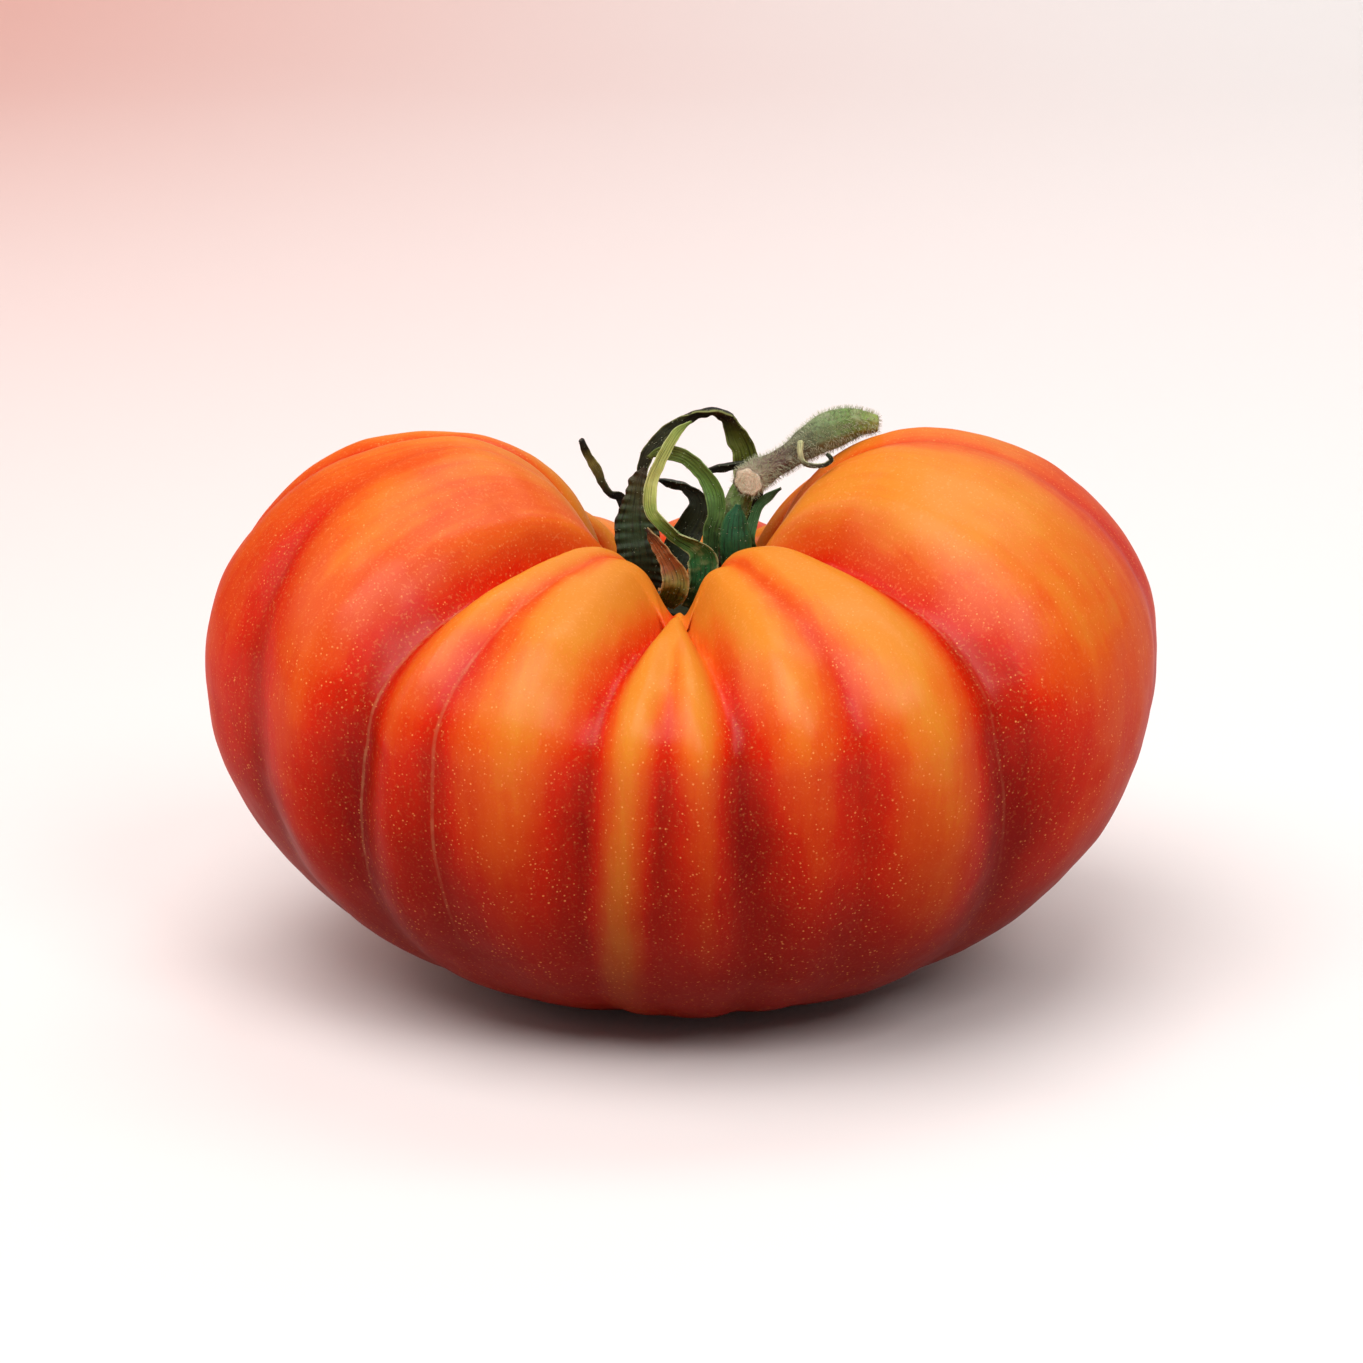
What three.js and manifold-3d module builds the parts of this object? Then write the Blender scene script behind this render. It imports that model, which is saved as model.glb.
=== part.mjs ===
// A ribbed beefsteak tomato as picked: one fruit, the calyx in its stem cavity, and the cut
// stem that lies over its right shoulder. Millimetres, +Z up.
// The origin is the centre of the small flat spot that the fruit rests on. -Y is the front.
import * as THREE from "three";
import { mergeVertices } from "three/addons/utils/BufferGeometryUtils.js";
import Module from "manifold-3d";

const wasm = await Module();
wasm.setup();

const { clamp, degToRad, lerp, radToDeg, smoothstep } = THREE.MathUtils;
const QUARTER_TURN = Math.PI / 2;

// ---- Driving dimensions of the fruit ----

const HALF_WIDTH = 60.4; // flat spot's centre to the widest point, left and right
const FRONT_DEPTH = 50; // flat spot's centre to the belly in front
const BACK_DEPTH = 46.5; // and to the belly at the back
const SHOULDER_HEIGHT = 70.9; // the left and right lobes' tops
const FRONT_SHOULDER_DROP = 9.7; // how far the front ribs stay below the lobes
const BACK_SHOULDER_DROP = 17.4;
const BELLY_HEIGHT = 42.5; // level of the widest point
const SIDE_SHOULDER_RADIUS = 29.5; // axis to the top of a side lobe
const FRONT_SHOULDER_RADIUS = 19.8;
const BACK_SHOULDER_RADIUS = 18.5;
// A side lobe rises from the front ribs and the back ribs between these degrees, counted from
// the front and from the back.
const FRONT_RISE = [23, 72];
const BACK_RISE = [14, 82];
const THROAT_RADIUS = 11; // the steep neck of the stem cavity
const CAVITY_DEPTH = 24.1; // side lobes' tops to the cavity's floor
const THROAT_RISE = 3.8; // cavity floor to the middle of the throat's wall
const FLAT_SPOT_RADIUS = 10.5;
const CREASE_REACH = 15; // most degrees that a crease's slope reaches to one side

// The broad dip of the front ribs between the two lobes: degrees from the front, degrees to
// either side, and millimetres deep.
const NOTCH = { angle: -2, reach: 20, depth: 6.5 };

// The creases between the ribs, all the way round. "at" gives the degrees from the front,
// positive to the right, where a crease crosses the shoulder, the belly and the foot. "depth"
// is in millimetres at the shoulder and the belly.
const CREASES = [
  { at: [-174, -172, -171], depth: [4.5, 2.2] },
  { at: [-152, -148, -146], depth: [2.5, 1.6] },
  { at: [-128, -124, -122], depth: [2.8, 2.2] },
  { at: [-98, -92, -92], depth: [1.8, 1.4] },
  { at: [-74, -61, -70], depth: [0.5, 2] },
  { at: [-31, -40, -56], depth: [5, 2.8] },
  { at: [-21, -29, -36], depth: [1, 1] },
  { at: [-4, -10.5, -17], depth: [5, 3] },
  { at: [-1, -2, -4], depth: [0, 1.2] },
  { at: [1, 6.5, 15], depth: [5, 3] },
  { at: [13, 20.5, 28], depth: [1, 1.2] },
  { at: [34, 40, 57], depth: [5.5, 3] },
  { at: [84, 82, 84], depth: [0.5, 1] },
  { at: [110, 108, 106], depth: [3, 1.8] },
  { at: [140, 141, 142], depth: [4, 2.2] },
  { at: [162, 165, 166], depth: [3, 1.6] },
];

// Where each arc of a meridian ends, as a share of the way from stem scar to flat spot.
const THROAT_AT = 0.07;
const SHOULDER_AT = 0.25;
const BELLY_AT = 0.52;
const FOOT_AT = 0.92;

const RINGS = 34;
const DEGREES_PER_COLUMN = 4.4; // columns of the skin between two creases

// ---- Driving dimensions of the calyx and the stem ----

const CLEARANCE = 0.3; // between pieces that touch
const DISC_RADIUS = 5.6; // the disc that carries the sepals on the cavity's floor
const DISC_HEIGHT = 2;
const SEPAL_THICKNESS = 0.9;
const TENDRIL_THICKNESS = 0.9;

// Routes are lists of stations: x and y in millimetres from the axis, the height as a share of
// the way up to the side lobes' tops, and the half width there. The sepals' heights start just
// clear of the disc's top, the stem's and the tendril's at the disc's underside.
const SEPALS = {
  // The wide ribbon that rises at the back right, arches over and comes down on the left.
  sepal_arch: [
    [1.6, 5, 0.037, 0.9],
    [5.6, 5.6, 0.229, 1.3],
    [8.2, 5.3, 0.522, 1.6],
    [8.1, 5, 0.793, 1.6],
    [6.9, 4.5, 0.945, 1.4],
    [5.7, 3.5, 1.053, 1.2],
    [3.7, 2.6, 1.102, 1],
    [1.6, 2.2, 1.081, 0.95],
    [-0.7, 1.9, 1.032, 0.9],
    [-3, 1.7, 0.934, 0.85],
    [-4.6, 1.6, 0.815, 0.8],
    [-5.1, 1.6, 0.674, 0.75],
    [-5.2, 1.8, 0.576, 0.5],
  ],
  // The pale strand in front, broad and cupped at its foot, with its tip against the arch.
  sepal_front: [
    [0.8, -4.9, 0.017, 0.9],
    [2.2, -6.8, 0.175, 1.2],
    [2.3, -7.5, 0.359, 1.4],
    [1.4, -7.9, 0.424, 1.3],
    [-0.6, -8, 0.478, 1],
    [-2.3, -8, 0.554, 0.85],
    [-3.8, -7.5, 0.63, 0.8],
    [-4, -6.5, 0.739, 0.8],
    [-3.3, -5.3, 0.847, 0.75],
    [-0.9, -2.7, 1.021, 0.65],
    [1, -0.8, 1.075, 0.4],
  ],
  // The ribbon that loops over inside the arch.
  sepal_inner: [
    [3.2, -3.8, 0.017, 0.9],
    [3.9, -4.9, 0.207, 0.9],
    [3.8, -5.1, 0.467, 1],
    [4.2, -5, 0.576, 1.1],
    [4.1, -4.4, 0.684, 1.2],
    [3.2, -3.6, 0.771, 1.2],
    [1.7, -2.7, 0.847, 1.15],
    [-0.3, -2.3, 0.901, 1],
    [-2.9, -2.2, 0.912, 0.9],
    [-4.2, -2.2, 0.88, 0.6],
  ],
  // The broad dark sepal that stands in front of the stem.
  sepal_face: [
    [5, -2, 0.017, 0.9],
    [6.6, -5, 0.166, 1.3],
    [6.5, -6.8, 0.402, 1.7],
    [6.4, -6.6, 0.522, 1.5],
    [6.9, -6.2, 0.641, 0.7],
  ],
  // The narrow ribbon along the right lobe's inner wall.
  sepal_right: [
    [6, 1.6, 0.037, 0.7],
    [8.9, -0.6, 0.166, 0.8],
    [8.9, -3.4, 0.305, 0.7],
    [8.3, -4.8, 0.424, 0.65],
    [8.8, -4.4, 0.532, 0.65],
    [9.6, -3.9, 0.619, 0.65],
    [11, -3.6, 0.674, 0.55],
    [12.2, -3.8, 0.717, 0.4],
  ],
  // The dried strand that comes round the stem and crosses to the left.
  sepal_cross: [
    [3.9, 3.2, 0.017, 0.7],
    [5.6, 2.6, 0.185, 0.6],
    [8.8, 2.2, 0.467, 0.6],
    [9.6, 1.9, 0.674, 0.6],
    [8.4, 1.8, 0.782, 0.6],
    [5.4, 1.3, 0.782, 0.6],
    [2.5, 0.8, 0.76, 0.4],
  ],
  // The dark strand behind the arch.
  sepal_rear: [
    [-1.6, 4.8, 0.017, 0.8],
    [0.3, 6.5, 0.229, 0.8],
    [2.7, 7.6, 0.467, 0.75],
    [0.6, 7.5, 0.576, 0.75],
    [-1.3, 7, 0.608, 0.7],
    [-3.2, 6.4, 0.641, 0.4],
  ],
  // The thin sepal that stands out to the left, with a swollen, dried tip.
  sepal_spike: [
    [-4.4, 3, 0.017, 0.8],
    [-6.6, 3.6, 0.25, 0.75],
    [-7, 3.3, 0.467, 0.7],
    [-7.8, 3.1, 0.576, 0.65],
    [-9, 3, 0.598, 0.6],
    [-10, 3, 0.663, 0.6],
    [-10.6, 3, 0.739, 0.65],
    [-11.8, 2.5, 0.836, 0.6],
    [-12.7, 2, 0.945, 0.65],
  ],
  // The broad wrinkled sepal along the left lobe's inner wall.
  sepal_left: [
    [-5, -1.2, 0.017, 0.9],
    [-6, -3, 0.141, 1.7],
    [-6, -4, 0.305, 2.3],
    [-6.2, -3.2, 0.424, 2.2],
    [-6, -2.3, 0.565, 1.8],
    [-5.5, -1.5, 0.706, 1.3],
    [-4.7, -0.9, 0.804, 0.7],
  ],
  // The dried sepal that lies in the front notch and curls up to the left.
  sepal_dried: [
    [-2.6, -4.4, 0.035, 0.9],
    [-1.6, -8.8, 0.123, 1.4],
    [-0.9, -11.2, 0.218, 1.7],
    [-0.9, -11.2, 0.294, 1.5],
    [-1.8, -10.6, 0.381, 1.2],
    [-3.2, -10, 0.478, 0.9],
    [-4.4, -9.5, 0.554, 0.5],
  ],
};

// The stem rises from the disc, and the cut limb crosses its end: the limb starts at a pale cut
// face in front and runs back over the right lobe to a swollen knuckle and a blunt end.
const PEDICEL = [
  [1, 0.3, 0.017, 2.6],
  [2.5, -0.2, 0.177, 2.2],
  [4.9, -1.3, 0.349, 1.9],
  [6.1, -2, 0.5, 1.7],
  [6.5, -2.2, 0.608, 1.5],
  [7.6, -2.2, 0.726, 1.45],
  [9.8, -2, 0.812, 1.45],
];
const LIMB = [
  [8.2, -4.7, 0.796, 1.55],
  [9.4, -3, 0.807, 1.7],
  [11, -1.1, 0.823, 1.65],
  [13.5, 1, 0.861, 1.55],
  [15.8, 2.2, 0.931, 1.65],
  [18.7, 3, 1.006, 1.9],
  [21.9, 3.6, 1.033, 1.5],
  [24.6, 4, 1.017, 1],
];

// The thin dried curl under the limb.
const TENDRIL = [
  [14.7, -0.6, 0.952],
  [14.6, -3.6, 0.925],
  [15, -5.4, 0.9],
  [16.1, -6.1, 0.889],
  [17.5, -6.4, 0.898],
  [18.3, -6.5, 0.928],
  [17.7, -6.3, 0.959],
];

const SIDES = 8; // round a swept section
const STEPS_PER_STATION = 3;

const FLOOR_HEIGHT = SHOULDER_HEIGHT - CAVITY_DEPTH;
const SEAT_HEIGHT = FLOOR_HEIGHT + CLEARANCE;

// ---- Fruit ----

// A meridian's five quarter arcs meet at these radii and heights.
const FRONT = {
  shoulderRadius: FRONT_SHOULDER_RADIUS,
  shoulderHeight: SHOULDER_HEIGHT - FRONT_SHOULDER_DROP,
  bellyRadius: FRONT_DEPTH,
};
const BACK = {
  shoulderRadius: BACK_SHOULDER_RADIUS,
  shoulderHeight: SHOULDER_HEIGHT - BACK_SHOULDER_DROP,
  bellyRadius: BACK_DEPTH,
};
const SIDE = {
  shoulderRadius: SIDE_SHOULDER_RADIUS,
  shoulderHeight: SHOULDER_HEIGHT,
  bellyRadius: HALF_WIDTH,
};

// Sine starts steep and ends level, its complement starts level and ends steep: together they
// make a quarter of an ellipse between two points of a meridian.
const risingSine = (share) => Math.sin(share * QUARTER_TURN);
const easedRise = (share) => 1 - Math.cos(share * QUARTER_TURN);
const shareOf = (t, from, to) => clamp((t - from) / (to - from), 0, 1);

// Radius and height of a meridian at t, from 0 at the stem scar to 1 at the flat spot's centre.
function onMeridian(meridian, t) {
  const { shoulderRadius, shoulderHeight, bellyRadius } = meridian;
  const floor = shareOf(t, 0, THROAT_AT);
  const inner = shareOf(t, THROAT_AT, SHOULDER_AT);
  const outer = shareOf(t, SHOULDER_AT, BELLY_AT);
  const lower = shareOf(t, BELLY_AT, FOOT_AT);
  const foot = shareOf(t, FOOT_AT, 1);
  const radius =
    THROAT_RADIUS * risingSine(floor) +
    (shoulderRadius - THROAT_RADIUS) * easedRise(inner) +
    (bellyRadius - shoulderRadius) * risingSine(outer) -
    (bellyRadius - FLAT_SPOT_RADIUS) * easedRise(lower) -
    FLAT_SPOT_RADIUS * foot;
  const height =
    FLOOR_HEIGHT +
    THROAT_RISE * easedRise(floor) +
    (shoulderHeight - FLOOR_HEIGHT - THROAT_RISE) * risingSine(inner) -
    (shoulderHeight - BELLY_HEIGHT) * easedRise(outer) -
    BELLY_HEIGHT * risingSine(lower);
  return { radius, height };
}

// The smooth body before its creases: ellipses in plan, between the side and the front or back.
function bodyPoint(angle, t) {
  const side = onMeridian(SIDE, t);
  const inFront = Math.cos(angle) > 0;
  const end = onMeridian(inFront ? FRONT : BACK, t);
  const degreesOff = radToDeg(Math.acos(Math.abs(Math.cos(angle))));
  const sideShare = smoothstep(degreesOff, ...(inFront ? FRONT_RISE : BACK_RISE));
  return new THREE.Vector3(
    side.radius * Math.sin(angle),
    -end.radius * Math.cos(angle),
    lerp(end.height, side.height, sideShare),
  );
}

// The degrees of a crease's middle at t.
function creaseDegrees(crease, t) {
  const [shoulder, belly, foot] = crease.at;
  const upper = lerp(shoulder, belly, risingSine(shareOf(t, SHOULDER_AT, BELLY_AT)));
  return lerp(upper, foot, shareOf(t, BELLY_AT, FOOT_AT));
}

// The degrees from one angle to another, the short way round.
function turnTo(from, to) {
  return THREE.MathUtils.euclideanModulo(to - from + 180, 360) - 180;
}

// A slope reaches to the middle of the rib beside it, so that ribs are rounded right across.
function reachTo(crease, neighbour) {
  return Math.min(Math.abs(turnTo(crease.at[1], neighbour.at[1])) / 2, CREASE_REACH);
}

// How deep the skin lies below the smooth body, at an angle in degrees and t.
function creaseDepth(degrees, t) {
  const down = smoothstep(t, SHOULDER_AT, BELLY_AT);
  const inCavity = smoothstep(t, THROAT_AT / 2, (THROAT_AT + SHOULDER_AT) / 2);
  const atBelly = down * (1 - smoothstep(t, BELLY_AT, FOOT_AT));
  const notchOff = Math.abs(turnTo(NOTCH.angle, degrees)) / NOTCH.reach;
  let depth = NOTCH.depth * inCavity * (1 - down) * Math.max(0, 1 - notchOff) ** 1.3;
  CREASES.forEach((crease, i) => {
    const off = turnTo(creaseDegrees(crease, t), degrees);
    const neighbour = CREASES.at((i + (off < 0 ? -1 : 1)) % CREASES.length);
    const slope = Math.max(0, 1 - Math.abs(off) / reachTo(crease, neighbour)) ** 2;
    depth += slope * (crease.depth[0] * inCavity * (1 - down) + crease.depth[1] * atBelly);
  });
  return depth;
}

// The skin's columns at t, in degrees: they follow the creases, so that each crease stays sharp.
function columnDegrees(t) {
  return CREASES.flatMap((crease, i) => {
    const next = CREASES[(i + 1) % CREASES.length];
    const columns = Math.ceil(Math.abs(turnTo(crease.at[1], next.at[1])) / DEGREES_PER_COLUMN);
    const start = creaseDegrees(crease, t);
    const width = turnTo(start, creaseDegrees(next, t));
    return Array.from({ length: columns }, (_, k) => start + (k / columns) * width);
  });
}

// A closed skin over rings of points, with a single point at each end. Seen from its start,
// each ring runs anticlockwise.
function loft(start, rings, end) {
  const count = rings[0].length;
  const points = [start, ...rings.flat(), end];
  const at = (ring, i) => 1 + ring * count + (i % count);
  const faces = [];
  for (let i = 0; i < count; i++) {
    faces.push(0, at(0, i), at(0, i + 1));
    for (let ring = 0; ring + 1 < rings.length; ring++) {
      faces.push(at(ring, i), at(ring + 1, i), at(ring, i + 1));
      faces.push(at(ring, i + 1), at(ring + 1, i), at(ring + 1, i + 1));
    }
    faces.push(points.length - 1, at(rings.length - 1, i + 1), at(rings.length - 1, i));
  }
  const geometry = new THREE.BufferGeometry().setFromPoints(points);
  geometry.setIndex(faces);
  geometry.computeVertexNormals();
  return geometry;
}

// The whole fruit. "grown" moves its skin outwards, to cut what must stay clear of it.
function fruitGeometry(grown = 0) {
  const depths = [];
  const rings = [];
  for (let i = 1; i < RINGS; i++) {
    const t = i / RINGS;
    const columns = columnDegrees(t);
    rings.push(columns.map((degrees) => bodyPoint(degToRad(degrees), t)));
    depths.push(...columns.map((degrees) => creaseDepth(degrees, t)));
  }
  const geometry = loft(bodyPoint(0, 0), rings, bodyPoint(0, 1));
  const { position, normal } = geometry.attributes;
  const point = new THREE.Vector3();
  const outward = new THREE.Vector3();
  for (let i = 0; i < position.count; i++) {
    const depth = depths[i - 1] ?? 0;
    outward.fromBufferAttribute(normal, i);
    point.fromBufferAttribute(position, i).addScaledVector(outward, grown - depth);
    position.setXYZ(i, point.x, point.y, point.z);
  }
  geometry.computeVertexNormals();
  return geometry;
}

// ---- Calyx and stem ----

const SEPAL_FOOT_HEIGHT = SEAT_HEIGHT + DISC_HEIGHT + CLEARANCE;

// A body swept along stations whose heights start at a foot. Its flat side looks to the front;
// with no thickness given, its section is round.
function sweptGeometry(stations, footHeight, thickness) {
  const heightAt = (share) => lerp(footHeight, SHOULDER_HEIGHT, share);
  const route = stations.map(([x, y, share]) => new THREE.Vector3(x, y, heightAt(share)));
  const sizes = stations.map(([, , , half]) => new THREE.Vector3(half, 0, 0));
  const path = new THREE.CatmullRomCurve3(route);
  const widths = new THREE.CatmullRomCurve3(sizes);
  const front = new THREE.Vector3(0, -1, 0);
  const steps = (stations.length - 1) * STEPS_PER_STATION;
  const rings = [];
  for (let step = 0; step <= steps; step++) {
    const centre = path.getPoint(step / steps);
    const along = path.getTangent(step / steps);
    const face = front.clone().addScaledVector(along, -front.dot(along)).normalize();
    const across = new THREE.Vector3().crossVectors(along, face);
    const halfWidth = widths.getPoint(step / steps).x;
    const halfThickness = thickness ? thickness / 2 : halfWidth;
    const ring = [];
    for (let side = 0; side < SIDES; side++) {
      const turn = (side / SIDES) * 2 * Math.PI;
      const point = centre.clone().addScaledVector(across, halfWidth * Math.cos(turn));
      ring.push(point.addScaledVector(face, halfThickness * Math.sin(turn)));
    }
    rings.push(ring);
  }
  return loft(path.getPoint(0), rings, path.getPoint(1));
}

function toSolid(geometry) {
  const bare = geometry.clone();
  bare.deleteAttribute("normal");
  bare.deleteAttribute("uv");
  const merged = mergeVertices(bare, 1e-4);
  return new wasm.Manifold(
    new wasm.Mesh({
      numProp: 3,
      vertProperties: merged.attributes.position.array,
      triVerts: new Uint32Array(merged.index.array),
    }),
  );
}

function toGeometry(solid) {
  const { vertProperties, triVerts } = solid.getMesh();
  const geometry = new THREE.BufferGeometry();
  geometry.setAttribute("position", new THREE.BufferAttribute(vertProperties, 3));
  geometry.setIndex(new THREE.BufferAttribute(triVerts, 1));
  geometry.computeVertexNormals();
  return geometry;
}

// The disc under the sepals, with a rim that rises clear of the cavity's curved floor.
function discGeometry() {
  const profile = [
    new THREE.Vector2(0, 0),
    new THREE.Vector2(DISC_RADIUS * 0.6, 0),
    new THREE.Vector2(DISC_RADIUS, DISC_HEIGHT * 0.6),
    new THREE.Vector2(DISC_RADIUS, DISC_HEIGHT),
    new THREE.Vector2(0, DISC_HEIGHT),
  ];
  const disc = new THREE.LatheGeometry(profile, 24);
  disc.rotateX(QUARTER_TURN);
  disc.translate(0, 0, SEAT_HEIGHT);
  return disc;
}

const keepClear = toSolid(fruitGeometry(CLEARANCE));
const clearOfFruit = (solid) => toGeometry(solid.subtract(keepClear));

function stemGeometry() {
  const pedicel = toSolid(sweptGeometry(PEDICEL, SEAT_HEIGHT));
  const limb = toSolid(sweptGeometry(LIMB, SEAT_HEIGHT));
  return clearOfFruit(toSolid(discGeometry()).add(pedicel).add(limb));
}

function sepalGeometry(stations) {
  return clearOfFruit(toSolid(sweptGeometry(stations, SEPAL_FOOT_HEIGHT, SEPAL_THICKNESS)));
}

function tendrilGeometry() {
  const stations = TENDRIL.map((station) => [...station, TENDRIL_THICKNESS / 2]);
  return clearOfFruit(toSolid(sweptGeometry(stations, SEAT_HEIGHT)));
}

// ---- Assembly ----

function matte(color, roughness) {
  return new THREE.MeshStandardMaterial({ color, roughness, metalness: 0 });
}

function named(name, geometry, material) {
  const mesh = new THREE.Mesh(geometry, material);
  mesh.name = name;
  return mesh;
}

const skin = matte(0xd2491d, 0.35);
const greenLeaf = matte(0x4a6a2a, 0.6);
const driedLeaf = matte(0x3a3020, 0.75);
const bark = matte(0x7f7a5c, 0.8);
const DRIED = ["sepal_cross", "sepal_rear", "sepal_dried"];

const calyx = new THREE.Group();
calyx.add(named("stem", stemGeometry(), bark));
calyx.add(named("tendril", tendrilGeometry(), driedLeaf));
for (const [name, stations] of Object.entries(SEPALS)) {
  calyx.add(named(name, sepalGeometry(stations), DRIED.includes(name) ? driedLeaf : greenLeaf));
}

const tomato = new THREE.Group();
tomato.add(named("fruit", fruitGeometry(), skin));
tomato.add(calyx);

export default tomato;
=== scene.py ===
import math

import bpy
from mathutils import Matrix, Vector


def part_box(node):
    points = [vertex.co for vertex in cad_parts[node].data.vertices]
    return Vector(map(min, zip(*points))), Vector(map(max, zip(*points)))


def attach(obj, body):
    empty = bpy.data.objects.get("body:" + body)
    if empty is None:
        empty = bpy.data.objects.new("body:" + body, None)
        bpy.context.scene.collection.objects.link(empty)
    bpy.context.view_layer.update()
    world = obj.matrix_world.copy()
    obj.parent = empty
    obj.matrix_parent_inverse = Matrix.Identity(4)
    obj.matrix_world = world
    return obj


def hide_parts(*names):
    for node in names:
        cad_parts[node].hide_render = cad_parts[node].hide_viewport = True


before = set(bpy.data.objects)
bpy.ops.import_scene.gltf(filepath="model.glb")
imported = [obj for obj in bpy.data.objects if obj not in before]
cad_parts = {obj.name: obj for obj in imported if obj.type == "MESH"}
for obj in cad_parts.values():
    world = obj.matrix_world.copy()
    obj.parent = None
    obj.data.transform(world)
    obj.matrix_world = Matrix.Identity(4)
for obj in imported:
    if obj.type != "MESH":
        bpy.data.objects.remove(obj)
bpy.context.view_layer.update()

# ==== The fruit ====
# One ribbed berry that grew as a single piece: a thin waxy skin over firm flesh. Two high lobes
# stand left and right of the stem cavity, and deep creases part the ribs that run down to the
# flat spot it rests on. The stem's disc is grown on to the floor of the cavity.

MM = 0.001
DEGREES = 180 / math.pi


class Field:
    """What a node socket carries, open to ordinary arithmetic in any node tree."""

    def __init__(self, tree, socket):
        self.tree = tree
        self.socket = socket

    def work(self, operation, *values):
        vector = self.socket.type == "VECTOR"
        node = self.tree.nodes.new("ShaderNodeVectorMath" if vector else "ShaderNodeMath")
        node.operation = operation
        for socket, value in zip(node.inputs, (self, *values)):
            feed(self.tree, socket, value)
        single = not vector or operation in ("DOT_PRODUCT", "LENGTH")
        return Field(self.tree, node.outputs["Value" if single else "Vector"])

    def also(self, name):
        """Another output of the same node."""
        return Field(self.tree, self.socket.node.outputs[name])

    def __add__(self, other):
        return self.work("ADD", other)

    def __sub__(self, other):
        return self.work("SUBTRACT", other)

    def __mul__(self, other):
        if self.socket.type != "VECTOR":
            return self.work("MULTIPLY", other)
        node = self.tree.nodes.new("ShaderNodeVectorMath")
        node.operation = "SCALE"
        feed(self.tree, node.inputs["Vector"], self)
        feed(self.tree, node.inputs["Scale"], other)
        return Field(self.tree, node.outputs["Vector"])

    def __truediv__(self, other):
        return self.work("DIVIDE", other)

    def __pow__(self, other):
        return self.work("POWER", other)

    def __neg__(self):
        return self * -1.0

    def __rsub__(self, other):
        return self * -1.0 + other

    __radd__ = __add__
    __rmul__ = __mul__


def feed(tree, socket, value):
    """Puts a number, a colour or another node's result into a socket."""
    if isinstance(value, Field):
        value = value.socket
    if isinstance(value, bpy.types.NodeSocket):
        tree.links.new(value, socket)
    else:
        socket.default_value = value


def place(tree, kind, values=None, output=0, **settings):
    """Adds a node with its settings and its inputs by name, and returns one output."""
    node = tree.nodes.new(kind)
    for setting, value in settings.items():
        setattr(node, setting, value)
    for name, value in (values or {}).items():
        feed(tree, node.inputs[name], value)
    return Field(tree, node.outputs[output])


def ramp(value, low, high, interpolation="SMOOTHSTEP"):
    """0 where the value is below low, 1 where it is above high."""
    values = {"Value": value, "From Min": low, "From Max": high}
    return place(value.tree, "ShaderNodeMapRange", values, interpolation_type=interpolation)


def between(low, high, share):
    """From low, where the share is 0, to high, where it is 1."""
    return (high - low) * share + low


def new_group(name, inputs, outputs):
    """A geometry node group, with its inputs as fields by name."""
    group = bpy.data.node_groups.new(name, "GeometryNodeTree")
    for in_out, sockets in (("INPUT", inputs), ("OUTPUT", outputs)):
        for title, kind in sockets.items():
            group.interface.new_socket(title, in_out=in_out, socket_type="NodeSocket" + kind)
    entry = group.nodes.new("NodeGroupInput")
    return group, {title: Field(group, entry.outputs[title]) for title in inputs}


def finish_group(group, **results):
    """Joins the results to the group's outputs of the same names, spaces for underscores."""
    exit_node = group.nodes.new("NodeGroupOutput")
    for title, value in results.items():
        feed(group, exit_node.inputs[title.replace("_", " ")], value)


def call(tree, group, values):
    """Uses a group in a tree and returns its outputs as fields by name."""
    node = tree.nodes.new("GeometryNodeGroup")
    node.node_tree = group
    for title, value in values.items():
        feed(tree, node.inputs[title], value)
    return {socket.name: Field(tree, socket) for socket in node.outputs}


def store(tree, geometry, name, value):
    """Keeps a value on the mesh under a name, for the material to read."""
    values = {"Geometry": geometry, "Name": name, "Value": value}
    return place(tree, "GeometryNodeStoreNamedAttribute", values, data_type="FLOAT")


def grown(name, group, sizes, start=None):
    """Runs a group on a fresh object with these sizes, and keeps the result as a plain mesh."""
    carrier = bpy.data.objects.new(name + "_form", start or bpy.data.meshes.new(name + "_form"))
    bpy.context.scene.collection.objects.link(carrier)
    modifier = carrier.modifiers.new("form", "NODES")
    modifier.node_group = group
    for item in group.interface.items_tree:
        if item.in_out == "INPUT" and item.name in sizes:
            modifier[item.identifier] = sizes[item.name]
    evaluated = carrier.evaluated_get(bpy.context.evaluated_depsgraph_get())
    mesh = bpy.data.meshes.new_from_object(evaluated)
    mesh.name = name
    piece = bpy.data.objects.new(name, mesh)
    bpy.context.scene.collection.objects.link(piece)
    bpy.data.objects.remove(carrier)
    return piece


# Where each arc of a meridian ends, as a share of the way from stem scar to flat spot.
THROAT_AT, SHOULDER_AT, BELLY_AT, FOOT_AT = 0.07, 0.25, 0.52, 0.92

FLOATS = "Float"
MERIDIAN_SIZES = ["Throat Radius", "Floor Height", "Throat Rise", "Belly Height", "Flat Spot Radius"]


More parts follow.
